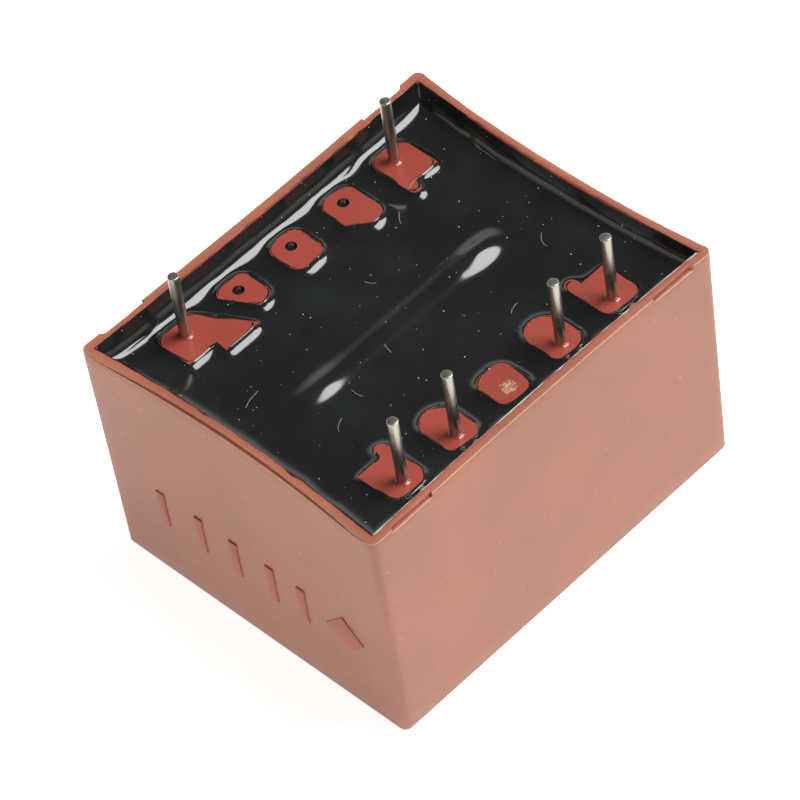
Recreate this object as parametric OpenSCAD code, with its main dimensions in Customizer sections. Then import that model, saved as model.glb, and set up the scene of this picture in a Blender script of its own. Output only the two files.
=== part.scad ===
// Resin-potted mains transformer for a printed circuit board.
// It stands on the closed face of its case at z = 0 with the pins up, as it lies on a
// bench. +X runs along the long side, and the secondary pins are in the row towards -Y.
// Turned over about X, it is in the position in which it is soldered to a board.

/* [Core laminations] */
// Length of the E and I plates, along the case
core_l = 30; // [29:0.5:34]
// Width of the centre leg
leg_w = 10; // [9:0.25:11]
// Width of each outer leg
side_leg_w = 5; // [4:0.25:5.5]
// Width of a yoke, which is the back of an E plate or a whole I plate
yoke_w = 5; // [4.5:0.25:7]
// Length of the two windows, between the yokes
window_l = 15; // [14:0.25:17]
// Thickness of one plate
plate_t = 0.48; // [0.33:0.01:0.5]
// Varnish between two plates
varnish_t = 0.02; // [0.01:0.01:0.05]
// Number of plates in the stack
plates = 16; // [12:1:22]

/* [Bobbin] */
// Wall of the square tube round the centre leg
tube_t = 0.7; // [0.5:0.05:1]
// Thickness of the two end flanges
flange_t = 0.7; // [0.5:0.05:0.9]
// Thickness of the partition between the two chambers
partition_t = 1; // [0.6:0.1:1.6]
// Height of the flanges and the partition over the tube
flange_h = 3.55; // [3:0.05:4.5]
// Air between the core's leg and the tube, on each side
leg_fit = 0.1; // [0.05:0.05:0.2]
// Air between the bobbin and the core's windows
window_fit = 0.2; // [0.1:0.05:0.3]
// Air between the core's yokes and the terminal rails
rail_fit = 0.15; // [0.1:0.05:0.4]
// Height of the bosses over the floor of the wire slots
boss_h = 1.65; // [1.4:0.05:2.2]
// Width of a boss along its row
boss_w = 2.85; // [2.4:0.05:3.2]
// Bore of a pin hole that has no pin
hole_d = 0.85; // [0.7:0.05:1]
// Depth of the dimple in the closed boss
dimple_t = 0.15; // [0.1:0.05:0.3]

/* [Pins] */
// Spacing of the pins in a row
pitch = 5; // [4.6:0.1:5.2]
// Distance between the two rows
row_gap = 20; // [19.8:0.1:20.6]
// Diameter of the pins
pin_d = 0.8; // [0.6:0.05:1]
// How far the pins stand out past the rim of the case
pin_out = 4.2; // [3:0.1:6]
// Depth of the bent tail's axis under the top of its boss
tail_drop = 1.05; // [1.05:0.05:1.3]
// Radius of the bend, on the pin's axis
bend_r = 1; // [0.95:0.01:1.05]
// Length of tail outside the boss
tail_out = 0.7; // [0.6:0.05:0.9]

/* [Windings] */
// Depth of wire in the primary chamber
primary_h = 2.25; // [1.8:0.05:2.25]
// Depth of wire of each secondary winding
secondary_h = 1.1; // [0.8:0.05:1.12]
// Thickness of the tape round a finished chamber
tape_t = 0.1; // [0.05:0.01:0.1]
// Free space between a winding and its end flange, where the leads rise
lead_gap = 0.4; // [0.35:0.05:0.6]
// Diameter of a lead
lead_d = 0.3; // [0.2:0.02:0.35]
// Resin under a lead, on the floor of its slot
lead_fit = 0.05; // [0.02:0.01:0.1]

/* [Case] */
// Wall of the case
wall_t = 0.75; // [0.6:0.05:1]
// Floor of the case
floor_t = 0.9; // [0.7:0.1:1.5]
// Play of the core in the case along X, on each side
core_play_x = 0.4; // [0.4:0.05:0.8]
// Play of the core in the case along Y, on each side
core_play_y = 0.25; // [0.25:0.05:0.6]
// Height of the rim over the bosses
rim_rise = 1.55; // [1:0.05:2.5]
// Radius of the upright outer corners
corner_r = 0.6; // [0.4:0.05:1]
// How much each wall leans in from rim to base
draft = 0.2; // [0.1:0.02:0.24]
// How far the short walls are drawn in at the middle of the rim
bow_short = 0.57; // [0.3:0.01:0.6]
// How far the long walls are drawn in at the middle of the rim
bow_long = 0.25; // [0.1:0.01:0.3]
// Width of the step in the short sides' rim, at its middle
step_w = 0.25; // [0.15:0.01:0.3]
// Depth of that step
step_t = 0.25; // [0.1:0.01:0.4]
// Length of each latch recess in the long sides' rim
recess_l = 3.8; // [2:0.1:4]
// Depth of a latch recess, into the wall and down from the rim
recess_t = 0.35; // [0.2:0.01:0.4]
// Distance of a latch recess from the end of the case
recess_in = 1.85; // [1.5:0.05:4]

/* [Potting compound] */
// Depth of the resin's level under the tops of the bosses
resin_drop = 0.65; // [0.3:0.05:0.9]
// Height that the resin climbs at the walls, over its level
climb_h = 1.85; // [1:0.05:2.05]
// Radius of the resin's ridge over the partition
ridge_r = 3; // [2:0.1:5]
// Height of that ridge over the resin's level
ridge_h = 0.35; // [0.2:0.05:0.4]

/* [Hidden] */
$fn = 64;

eps = 0.01;
big = 60;

// Core
window_w = (core_l - leg_w - 2 * side_leg_w) / 2;
core_w = window_l + 2 * yoke_w;
plate_pitch = plate_t + varnish_t;
stack_h = plates * plate_pitch - varnish_t;

// Tube and flanges of the bobbin, with the winding axis along Y
bore_x = leg_w + 2 * leg_fit;
bore_z = stack_h + 2 * leg_fit;
tube_x = bore_x + 2 * tube_t;
tube_z = bore_z + 2 * tube_t;
flange_x = leg_w + 2 * window_w - 2 * window_fit;
flange_out = window_l / 2 - window_fit / 2;
flange_in = flange_out - flange_t;
tube_corner_r = 0.4;
flange_r = 1;

// Heights, from the floor of the case up
axis_z = floor_t + flange_h + tube_z / 2;
stack_z = axis_z - stack_h / 2;
tube_top = axis_z + tube_z / 2;
flange_top = tube_top + flange_h;
rail_z = stack_z + stack_h + rail_fit;
slot_z = tube_top + primary_h + tape_t;
boss_top = slot_z + boss_h;
case_h = boss_top + rim_rise;
tail_z = boss_top - tail_drop;
resin_z = boss_top - resin_drop;
pin_top = case_h + pin_out;

// Terminal rails and their bosses. A boss's reach is measured from its pin's axis.
row_y = row_gap / 2;
boss_out = 1.2;   // outwards, all bosses
short_in = 2.1;   // inwards, short bosses
end_in = 2.4;     // inwards, bosses at the ends of a row
long_in = 2.8;    // inwards, long bosses
wide_in = 3.1;    // inwards, the boss beside the slanted slot
end_near = 1.45;  // along the row towards its middle, bosses at the ends
end_far = 1.7;    // along the row away from its middle
finger_w = 1;     // finger on an end boss, which guides the wire
finger_l = 0.9;
slant = 2.4;      // along the row, from the slanted slot's outer end to its inner end
boss_r = 0.9;
rail_l = 4 * pitch + 2 * end_far;

// Pins: place in the row from -2 to 2, and side of the part
PIN_1 = [-2, 1];
PIN_5 = [2, 1];
PIN_6 = [2, -1];
PIN_7 = [1, -1];
PIN_9 = [-1, -1];
PIN_10 = [-2, -1];
PINS = [PIN_1, PIN_5, PIN_6, PIN_7, PIN_9, PIN_10];

// Leads: wraps round a tail, next to its boss
wrap_r = pin_d / 2 + lead_d;
wrap_l = tail_out * 0.6;
wrap_y = row_y + boss_out;
cap_l = 0.2;
cap_r = wrap_r - 0.05;

// Case, which clears the core and the ends of the pins' tails
tail_reach = boss_out + tail_out + cap_l;
tail_fit = 0.6;
case_l = core_l + 2 * (core_play_x + wall_t);
case_w = max(core_w + 2 * core_play_y, row_gap + 2 * (tail_reach + tail_fit)) + 2 * wall_t;
inner_corner_r = corner_r / 2;
bow_z = stack_z + stack_h * 0.35;

// ---------------------------------------------------------------- 2D and 3D helpers

module rounded_rect(l, w, r) {
    square([l - 2 * r, w], center = true);
    square([l, w - 2 * r], center = true);
    for (sx = [-1, 1], sy = [-1, 1])
        translate([sx * (l / 2 - r), sy * (w / 2 - r)]) circle(r = r);
}

// Space between two planes that lean in by `lean` from height h to z = 0
module leaning_x(a, h, lean) {
    t = atan(lean / h);
    intersection_for (s = [-1, 1])
        translate([s * a, 0, h]) rotate([0, s * t, 0])
            translate([s < 0 ? 0 : -big, -big / 2, -big]) cube([big, big, 2 * big]);
}

module leaning_y(b, h, lean) {
    rotate(90) leaning_x(b, h, lean);
}

// Upright block with drafted sides and round corners, l by w at height h
module drafted_block(l, w, z0, h, r, lean) {
    e = r / cos(atan(lean / h));
    d = norm([lean, lean, h]);
    intersection() {
        translate([-big / 2, -big / 2, z0]) cube([big, big, h - z0]);
        union() {
            intersection() { leaning_x(l / 2, h, lean); leaning_y(w / 2 - e, h, lean); }
            intersection() { leaning_x(l / 2 - e, h, lean); leaning_y(w / 2, h, lean); }
            for (sx = [-1, 1], sy = [-1, 1])
                translate([sx * (l / 2 - e), sy * (w / 2 - e), h])
                    rotate([0, acos(h / d), atan2(sy, sx)])
                        translate([0, 0, -2 * d]) cylinder(r = r, h = 3 * d);
        }
    }
}

// Radius of an arc of the given chord and height
function arc_r(chord, rise) = (chord * chord / 4 + rise * rise) / (2 * rise);

// Large leaning cylinder that draws in the wall at x = a, from nothing at bow_z to
// `bow` at the rim. `more` makes it larger for the inner face.
module bow_cutter(a, chord, bow, more) {
    r = arc_r(chord, bow);
    face = a - draft * (1 - bow_z / case_h);
    t = atan((a - bow - face) / (case_h - bow_z));
    translate([a - bow, 0, case_h]) rotate([0, t, 0])
        translate([r, 0, -big]) cylinder(r = r + more, h = 2 * big, $fn = 720);
}

module bow_cutters(more) {
    for (s = [0, 180]) rotate(s)
        bow_cutter(case_l / 2, case_w - 2 * corner_r, bow_short, more);
    for (s = [90, 270]) rotate(s)
        bow_cutter(case_w / 2, case_l - 2 * corner_r, bow_long, more);
}

// Section of the winding space round the tube, out to depth t
module coil_section(t) {
    rounded_rect(tube_x + 2 * t, tube_z + 2 * t, tube_corner_r + t);
}

// Ring round the tube from depth t0 to t1, between y0 and y1 on side s
module coil_ring(t0, t1, s, y0, y1) {
    translate([0, s > 0 ? y1 : -y0, axis_z]) rotate([90, 0, 0])
        linear_extrude(y1 - y0) difference() {
            coil_section(t1);
            coil_section(t0);
        }
}

// Round wire through a list of points, with slightly thicker joints
module wire(points, d) {
    for (i = [0 : len(points) - 2]) {
        v = points[i + 1] - points[i];
        translate(points[i])
            rotate([0, acos(v[2] / norm(v)), atan2(v[1], v[0])])
                cylinder(d = d, h = norm(v), $fn = 24);
    }
    for (i = [1 : len(points) - 2]) translate(points[i])
        rotate([35, 25, 0]) sphere(d = d * 1.2, $fn = 24);
}

// ------------------------------------------------------------------------- case

module cavity(z0) {
    difference() {
        drafted_block(case_l - 2 * wall_t, case_w - 2 * wall_t, z0, case_h,
                      inner_corner_r, draft);
        bow_cutters(wall_t);
    }
}

module case() color("#b4705e") {
    step_bow = bow_short + step_w;
    step_r = arc_r(case_w - 2 * corner_r, step_bow);
    difference() {
        drafted_block(case_l, case_w, 0, case_h, corner_r, draft);
        bow_cutters(0);
        translate([0, 0, eps]) cavity(floor_t - eps);
        // step along the rim of the short sides
        for (s = [0, 180]) rotate(s)
            translate([case_l / 2 - step_bow + step_r, 0, case_h - step_t])
                cylinder(r = step_r, h = big, $fn = 720);
        // latch recesses in the rim of the long sides
        for (sx = [-1, 1], sy = [-1, 1])
            translate([sx * (case_l / 2 - recess_in - recess_l / 2),
                       sy * case_w / 2, case_h])
                cube([recess_l, 2 * recess_t, 2 * recess_t], center = true);
    }
}

// ------------------------------------------------------------------------- core

module e_plate() {
    difference() {
        translate([-core_l / 2, -window_l / 2]) square([core_l, window_l + yoke_w]);
        for (s = [-1, 1])
            translate([s * (leg_w + window_w) / 2 - window_w / 2, -window_l / 2 - eps])
                square([window_w, window_l + eps]);
    }
}

module i_plate() {
    translate([-core_l / 2, -window_l / 2 - yoke_w]) square([core_l, yoke_w]);
}

// Plates are laid in alternately from the two sides
module stacked() {
    for (i = [0 : plates - 1])
        translate([0, 0, stack_z + i * plate_pitch]) linear_extrude(plate_t)
            rotate(180 * (i % 2)) children();
}

module core_e_laminations() color("#7d8084") stacked() e_plate();
module core_i_laminations() color("#8a8d91") stacked() i_plate();

// ----------------------------------------------------------------------- bobbin

// The bosses are drawn for the near row, with the pin's axis at the origin

// Boss with round corners, from x0 to x1 and reaching inwards by `inner`
module plain_boss(x0, x1, inner, r) {
    translate([(x0 + x1) / 2, (inner - boss_out) / 2])
        rounded_rect(x1 - x0, inner + boss_out, r);
}

module short_boss() {
    plain_boss(-boss_w / 2, boss_w / 2, short_in, boss_r);
}

// Boss with a round inner end
module round_boss() {
    r = boss_w / 2;
    plain_boss(-r, r, long_in - r + boss_r, boss_r);
    translate([0, long_in - r]) circle(r = r);
}

// Wide boss at the +X end of a row, with a finger on its inner side
module end_boss() {
    plain_boss(-end_near, end_far, end_in - boss_r / 2, boss_r);
    translate([-end_near, 0]) square([end_near + end_far, end_in]);
    translate([-end_near, 0]) square([finger_w, end_in + finger_l - finger_w / 2]);
    translate([-end_near + finger_w / 2, end_in + finger_l - finger_w / 2])
        circle(d = finger_w);
}

// Wide boss with a slanted side along the slanted wire slot, at the far row's -X end
module slanted_boss() {
    r = boss_r * 2 / 3;
    translate([r - end_far, r - boss_out]) circle(r = r);
    polygon([
        [-end_far, r - boss_out], [r - end_far, -boss_out], [end_near, -boss_out],
        [end_near + slant, wide_in], [end_near + slant - wide_in, wide_in],
        [slant - wide_in / 2, short_in], [-end_far, short_in]
    ]);
}

// Boss with one corner cut along the slanted wire slot
module cut_boss() {
    difference() {
        plain_boss(-boss_w / 2, boss_w / 2, short_in, boss_r);
        polygon([[-boss_w, -boss_out / 2], [-boss_w / 2, -boss_out / 2], [0, short_in],
                 [0, 2 * short_in], [-boss_w, 2 * short_in]]);
    }
}

// Long boss with a slanted inner end
module long_boss() {
    difference() {
        plain_boss(-boss_w / 2, boss_w / 2, long_in, boss_r);
        polygon([[-boss_w, short_in * 0.75], [-boss_w / 2, short_in * 0.75],
                 [0, long_in], [0, 2 * long_in], [-boss_w, 2 * long_in]]);
    }
}

module near_bosses() {
    translate([0, -row_y]) {
        for (s = [0, 1]) mirror([s, 0]) {
            translate([2 * pitch, 0]) end_boss();
            translate([pitch, 0]) round_boss();
        }
        short_boss();
    }
}

module far_bosses() {
    translate([0, row_y]) mirror([0, 1]) {
        translate([-2 * pitch, 0]) slanted_boss();
        translate([-pitch, 0]) cut_boss();
        short_boss();
        translate([pitch, 0]) long_boss();
        translate([2 * pitch, 0]) end_boss();
    }
}

module flange(y0, t, top) {
    translate([0, y0 + t, (floor_t + top) / 2]) rotate([90, 0, 0])
        linear_extrude(t) rounded_rect(flange_x, top - floor_t, flange_r);
}

module bobbin_body() {
    // tube, flanges and partition
    translate([0, flange_out, axis_z]) rotate([90, 0, 0])
        linear_extrude(2 * flange_out) coil_section(0);
    flange(-flange_out, flange_t, slot_z);
    flange(flange_in, flange_t, slot_z);
    flange(-partition_t / 2, partition_t, flange_top);
    // terminal rails over the yokes, and the bosses on them
    for (s = [-1, 1])
        translate([-rail_l / 2, s > 0 ? flange_in : -row_y - boss_out, rail_z])
            cube([rail_l, row_y + boss_out - flange_in, slot_z - rail_z]);
    translate([0, 0, slot_z - eps]) linear_extrude(boss_h + eps) {
        near_bosses();
        far_bosses();
    }
}

module bobbin() color("#a8412f") difference() {
    bobbin_body();
    translate([-bore_x / 2, -big / 2, axis_z - bore_z / 2]) cube([bore_x, big, bore_z]);
    for (p = PINS) pin(p);
    // open pin holes, and the dimple of the closed boss
    for (i = [-1 : 1])
        translate([i * pitch, row_y, rail_z - 1]) cylinder(d = hole_d, h = big);
    translate([0, -row_y, boss_top - dimple_t]) cylinder(d = hole_d, h = 1);
}

// ------------------------------------------------------------------------- pins

module pin(p) {
    translate([p[0] * pitch, p[1] * row_y, tail_z]) rotate(p[1] > 0 ? 0 : 180) {
        translate([0, 0, bend_r]) cylinder(d = pin_d, h = pin_top - tail_z - bend_r);
        translate([0, bend_r, 0]) rotate([-90, 0, 0])
            cylinder(d = pin_d, h = boss_out + tail_out - bend_r);
        translate([0, bend_r, bend_r]) rotate([90, 0, 90]) rotate([0, 0, 180])
            rotate_extrude(angle = 90) translate([bend_r, 0]) circle(d = pin_d);
    }
}

// Solder on the end of a pin's tail, over the last turn of the lead
module solder_joint(p) color("#c9cbc6") {
    translate([p[0] * pitch, p[1] * (wrap_y + wrap_l), tail_z])
        rotate([p[1] > 0 ? -90 : 90, 0, 0])
            difference() {
                cylinder(r1 = cap_r, r2 = pin_d / 2 + 0.05,
                         h = tail_out - wrap_l + cap_l);
                translate([0, 0, -eps])
                    cylinder(d = pin_d, h = tail_out - wrap_l + eps);
            }
}

// --------------------------------------------------------------------- windings

pack_y0 = partition_t / 2;
pack_y1 = flange_in - lead_gap;
riser_y = flange_in - lead_gap / 2;
lead_z = slot_z + lead_fit + lead_d / 2;

// Lead of a winding: out of the pack at depth t, up beside the flange, through the slot
// that starts at x = a and ends at x = b, and round the tail of pin p
module lead(p, a, b, t) {
    s = p[1];
    x = p[0] * pitch;
    side = sign(b - x);
    lane = wrap_y + wrap_l / 2;
    wire([[a / 2, s * (pack_y1 - lead_d), tube_top + t],
          [a / 2, s * riser_y, tube_top + t], [a / 2, s * riser_y, lead_z],
          [a, s * riser_y, lead_z], [b, s * lane, lead_z],
          [x + side * pin_d / 2, s * lane, lead_z]], lead_d);
    translate([x, s * wrap_y, tail_z]) rotate([s > 0 ? -90 : 90, 0, 0])
        difference() {
            cylinder(r = wrap_r, h = wrap_l);
            translate([0, 0, -eps]) cylinder(d = pin_d, h = wrap_l + 2 * eps);
        }
}

// Middle of the slanted wire slot, at its outer end
slot_x = end_near - 2 * pitch + 2 * lead_d;

module primary_winding() color("#b8692e") {
    coil_ring(0, primary_h, 1, pack_y0, pack_y1);
    lead(PIN_1, slot_x + slant, slot_x, primary_h / 2);
    lead(PIN_5, 1.5 * pitch, 1.5 * pitch, primary_h / 2);
}

module secondary_winding_a() color("#c4763a") {
    coil_ring(0, secondary_h, -1, pack_y0, pack_y1);
    lead(PIN_6, 1.5 * pitch, 1.5 * pitch, secondary_h / 2);
    lead(PIN_7, 0.5 * pitch, 0.5 * pitch, secondary_h / 2);
}

module secondary_winding_b() color("#b06228") {
    coil_ring(secondary_h, 2 * secondary_h, -1, pack_y0, pack_y1);
    lead(PIN_9, -0.5 * pitch, -0.5 * pitch, 1.5 * secondary_h);
    lead(PIN_10, -1.5 * pitch, -1.5 * pitch, 1.5 * secondary_h);
}

module primary_tape() color("#d9b44a")
    coil_ring(primary_h, primary_h + tape_t, 1, pack_y0, pack_y1);

module secondary_tape() color("#d9b44a")
    coil_ring(2 * secondary_h, 2 * secondary_h + tape_t, -1, pack_y0, pack_y1);

// ------------------------------------------------------------- potting compound

// Air over the resin: flat over the level, round where the resin climbs the walls, which
// it meets at wet_angle
wet_angle = 20;
climb_r = climb_h / (1 - sin(wet_angle));

module open_section(a) {
    x = a - climb_r * cos(wet_angle);
    translate([-x, resin_z]) square([2 * x, big]);
    for (s = [-1, 1]) translate([s * x, resin_z + climb_r]) circle(r = climb_r, $fn = 180);
    translate([-a - 1, resin_z + climb_h]) square([2 * a + 2, big]);
}

module air() {
    intersection() {
        translate([0, big / 2, 0]) rotate([90, 0, 0]) linear_extrude(big)
            open_section(case_l / 2 - wall_t);
        rotate([90, 0, 90]) translate([0, 0, -big / 2]) linear_extrude(big)
            open_section(case_w / 2 - wall_t);
    }
}

// Resin's ridge over the partition, with round ends
module ridge() {
    intersection() {
        translate([-big / 2, -big / 2, resin_z - eps]) cube([big, big, 2 * ridge_h]);
        translate([0, 0, resin_z + ridge_h - ridge_r]) {
            translate([-flange_x / 2, 0, 0]) rotate([0, 90, 0])
                cylinder(r = ridge_r, h = flange_x);
            for (s = [-1, 1]) translate([s * flange_x / 2, 0, 0]) sphere(r = ridge_r);
        }
    }
}

module core_space() {
    translate([-core_l / 2, -core_w / 2, stack_z]) cube([core_l, core_w, stack_h]);
}

module potting_compound() color("#1d211f") difference() {
    union() {
        difference() { cavity(floor_t); air(); }
        ridge();
    }
    difference() {
        core_space();
        for (s = [-1, 1])
            translate([s * (leg_w + window_w) / 2 - window_w / 2, -window_l / 2, 0])
                cube([window_w, window_l, big]);
    }
    bobbin();
    translate([-bore_x / 2, -flange_out, axis_z - bore_z / 2])
        cube([bore_x, 2 * flange_out, bore_z]);
    for (p = PINS) { pin(p); solder_joint(p); }
    primary_winding();
    secondary_winding_a();
    secondary_winding_b();
    primary_tape();
    secondary_tape();
}

// ------------------------------------------------------------------------ nodes

case();
potting_compound();
bobbin();
core_e_laminations();
core_i_laminations();
primary_winding();
secondary_winding_a();
secondary_winding_b();
primary_tape();
secondary_tape();
color("#c2c2ba") pin(PIN_1);  // pin_1
color("#c2c2ba") pin(PIN_5);  // pin_5
color("#c2c2ba") pin(PIN_6);  // pin_6
color("#c2c2ba") pin(PIN_7);  // pin_7
color("#c2c2ba") pin(PIN_9);  // pin_9
color("#c2c2ba") pin(PIN_10);  // pin_10
solder_joint(PIN_1);  // solder_joint_1
solder_joint(PIN_5);  // solder_joint_5
solder_joint(PIN_6);  // solder_joint_6
solder_joint(PIN_7);  // solder_joint_7
solder_joint(PIN_9);  // solder_joint_9
solder_joint(PIN_10);  // solder_joint_10
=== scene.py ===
"""Looks of a resin-potted transformer for a printed circuit board.

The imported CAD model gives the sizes. This file adds the moulded case with its worn rim, the
free surface of the cast resin, the tinned pins, dust, and the studio. All sizes are in
millimetres until they are put into a mesh.
"""

import math

import bmesh
import bpy
import numpy as np
from mathutils import Matrix, Vector, noise
from mathutils.bvhtree import BVHTree


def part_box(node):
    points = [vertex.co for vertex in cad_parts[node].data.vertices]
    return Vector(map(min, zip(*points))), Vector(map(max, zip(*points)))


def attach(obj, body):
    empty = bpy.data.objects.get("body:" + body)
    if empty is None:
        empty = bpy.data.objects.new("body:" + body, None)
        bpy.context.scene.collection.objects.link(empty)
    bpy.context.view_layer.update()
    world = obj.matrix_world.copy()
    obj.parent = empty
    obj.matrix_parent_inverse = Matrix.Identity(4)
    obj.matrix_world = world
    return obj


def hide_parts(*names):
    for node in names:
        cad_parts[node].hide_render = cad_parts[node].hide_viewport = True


bl_info = {
    "name": "Potted transformer looks",
    "version": (1, 0, 0),
    "blender": (4, 5, 0),
    "location": "View3D > Sidebar > Transformer",
    "description": "Case, cast resin, pins and studio around the packed model of the part",
    "category": "Object",
}

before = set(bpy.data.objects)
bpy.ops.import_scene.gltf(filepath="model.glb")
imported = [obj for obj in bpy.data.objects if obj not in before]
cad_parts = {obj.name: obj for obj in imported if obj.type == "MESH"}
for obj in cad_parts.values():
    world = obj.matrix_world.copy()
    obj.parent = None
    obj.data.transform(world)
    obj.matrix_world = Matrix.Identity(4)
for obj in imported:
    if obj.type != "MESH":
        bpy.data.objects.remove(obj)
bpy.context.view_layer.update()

MM = 0.001
CASE_L, CASE_W, CASE_H = (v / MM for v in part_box("case")[1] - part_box("case")[0])
BOSS_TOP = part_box("bobbin")[1].z / MM
FLOOR_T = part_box("potting_compound")[0].z / MM
PIN_NAMES = ("pin_1", "pin_5", "pin_6", "pin_7", "pin_9", "pin_10")


def pin_place(name):
    """Axis of a pin's upright part, and the side of the part that its row is on."""
    low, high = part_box(name)
    side = 1 if low.y > 0 else -1
    radius = (high.x - low.x) / 2
    y = low.y + radius if side > 0 else high.y - radius
    return (low.x + radius) / MM, y / MM, side, radius / MM


PIN_PLACES = {name: pin_place(name) for name in PIN_NAMES}
PITCH = abs(PIN_PLACES["pin_7"][0])
ROW_Y = PIN_PLACES["pin_1"][1]
OPEN_HOLES = [(k * PITCH, ROW_Y) for k in (-1, 0, 1)]
CLOSED_BOSS = (0.0, -ROW_Y)
BORES = [place[:2] for place in PIN_PLACES.values()] + OPEN_HOLES + [CLOSED_BOSS]
BORE_RADIUS = 0.425
BORE_AREA = 0.5  # everything of a bore lies within this distance of its axis
POLYMER_IOR = 1.55


# ------------------------------------------------------------------ sizes and colours


def length(name, default, description):
    """A length property, in mm."""
    return bpy.props.FloatProperty(
        name=name, default=default, min=0.0, description=description + ", in mm"
    )


def colour(name, code, description):
    """A colour property from an sRGB hex code, kept in linear values."""
    return bpy.props.FloatVectorProperty(
        name=name,
        default=linear(code),
        size=4,
        min=0.0,
        max=1.0,
        subtype="COLOR",
        description=description,
    )


def linear(code):
    """Linear RGBA of an sRGB hex code."""
    parts = [int(code[i : i + 2], 16) / 255 for i in (1, 3, 5)]
    return tuple(
        c / 12.92 if c <= 0.04045 else ((c + 0.055) / 1.055) ** 2.4 for c in parts
    ) + (1.0,)


class CaseSettings(bpy.types.PropertyGroup):
    """Sizes and colour of the moulded case."""

    wall: length("Wall", 0.75, "Thickness of the walls")
    corner: length("Corner", 0.6, "Radius of the upright outer corners")
    inner_corner: length("Inner corner", 0.3, "Radius of the upright inner corners")
    draft: length("Draft", 0.2, "How far each wall leans in from rim to base")
    bow_short: length("Short bow", 0.57, "Draw-in of the short walls at mid rim")
    bow_long: length("Long bow", 0.25, "Draw-in of the long walls at mid rim")
    bow_start: length("Bow start", 8.04, "Height at which the walls start to bow")
    step_width: length("Step width", 0.25, "Step along the short sides' rim")
    step_depth: length("Step depth", 0.25, "Depth of that step")
    recess_length: length("Recess length", 3.8, "Latch recess in the long sides' rim")
    recess_depth: length("Recess depth", 0.35, "Depth of a latch recess")
    recess_end: length("Recess end", 1.85, "From a latch recess to the case's end")
    relief: length("Relief", 0.1, "Height of the plain relief on the left side")
    plastic: colour("Plastic", "#A8483A", "Colour of the moulded plastic")
    # Colour of the upright sides: partly a dull skin on the plastic, partly a painted
    # reflection of the bright floor.
    skin: colour("Skin", "#AB6C52", "Colour of its dull, pale skin on the sides")
    # Colour of the outer edges: partly rubbed wear, partly a painted highlight where the edges
    # catch the light.
    worn_and_highlight: colour("Worn", "#D6A08C", "Colour of rubbed edges")


class ResinSettings(bpy.types.PropertyGroup):
    """Sizes and colour of the cast resin."""

    level: length("Level", 0.65, "Depth of the level under the tops of the bosses")
    wall_film: length("Wall film", 1.33, "Height of the steep film on the walls")
    boss_film: length("Boss film", 0.3, "Height of the steep film on the bosses")
    film_reach: length("Film reach", 0.3, "How far from a wall or boss that film dies out")
    capillary: length("Capillary length", 1.9, "How far the resin's rise at a wall runs")
    ridge: length("Ridge", 0.3, "Height of the ridge over the partition")
    ridge_width: length("Ridge width", 1.1, "Half-width of the ridge")
    ridge_length: length("Ridge length", 19.4, "Length of that ridge's crest")
    resin: colour("Resin", "#1B1E1C", "Colour of the cast resin")
    dust: colour("Dust", "#B9BDB6", "Colour of dust and lint")


class PinSettings(bpy.types.PropertyGroup):
    """Sizes and colour of the pins."""

    collar: length("Collar", 0.24, "Width of the resin collar at a pin's root")
    tin: colour("Tin", "#B9B5A8", "Colour of the tinned wire")


class StudioSettings(bpy.types.PropertyGroup):
    """The stage's size and level."""

    floor_size: bpy.props.FloatProperty(
        name="Floor", default=3.0, min=0.5, unit="LENGTH", description="Floor's side"
    )
    key_power: bpy.props.FloatProperty(
        name="Key", default=2.6, min=0.0, description="Power of the key lamp, in watts"
    )
    fill_power: bpy.props.FloatProperty(
        name="Fill", default=0.6, min=0.0, description="Power of the fill lamp, in watts"
    )


# ----------------------------------------------------------------- small mesh helpers


def deselect():
    """Leaves edit mode and selects nothing."""
    if bpy.context.object and bpy.context.object.mode != "OBJECT":
        bpy.ops.object.mode_set(mode="OBJECT")
    bpy.ops.object.select_all(action="DESELECT")


def choose(obj):
    """Makes the object the only selected one, and active."""
    deselect()
    obj.select_set(True)
    bpy.context.view_layer.objects.active = obj
    return obj


def named(name):
    """The object that a primitive operator has just added, under its own name."""
    obj = bpy.context.object
    obj.name = obj.data.name = name
    return obj


def apply_all(obj):
    """Applies the modifiers, then puts the object's place into its mesh."""
    choose(obj)
    for modifier in list(obj.modifiers):
        bpy.ops.object.modifier_apply(modifier=modifier.name)
    bpy.ops.object.transform_apply(location=True, rotation=True, scale=True)
    return obj


def join(target, others):
    """Joins the others into the target, which keeps its name."""
    choose(target)
    for other in others:
        other.select_set(True)
    bpy.ops.object.join()
    return target


def finish_piece(obj, material, slot, *nodes):
    """Gives a piece its material and its body, and hides the CAD nodes that it stands for."""
    obj.data.materials.clear()
    obj.data.materials.append(material)
    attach(obj, "root")
    if nodes:
        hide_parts(*nodes)
    return obj


def wave(x, y, scale, seed=0.0):
    """Smooth noise of about -1 to 1, with features of about `scale` mm. Each seed takes
    another slice of the noise."""
    slice_step = 7.31
    return noise.noise(Vector((x / scale, y / scale, seed * slice_step)))


def settings_of(name):
    """The settings group of that name, on the scene."""
    return getattr(bpy.context.scene, name)


# ------------------------------------------------------------------ materials


def add(tree, kind, settings=None, **links):
    """Adds a node. Settings name its attributes or give inputs; links feed its inputs."""
    item = tree.nodes.new(kind)
    for key, value in (settings or {}).items():
        if isinstance(key, int) or key in item.inputs:
            item.inputs[key].default_value = value
        else:
            setattr(item, key, value)
    for key, source in links.items():
        socket = item.inputs[int(key[1:])] if key[0] == "i" and key[1:].isdigit() else None
        socket = socket or item.inputs[key.replace("_", " ")]
        tree.links.new(source, socket)
    return item


def ramp(tree, source, stops):
    """A colour ramp from (position, colour) stops."""
    item = add(tree, "ShaderNodeValToRGB", Fac=source)
    while len(item.color_ramp.elements) < len(stops):
        item.color_ramp.elements.new(0.5)
    for element, (place, shade) in zip(item.color_ramp.elements, stops):
        element.position = place
        element.color = shade if len(shade) == 4 else (*shade, 1.0)
    return item


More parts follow.
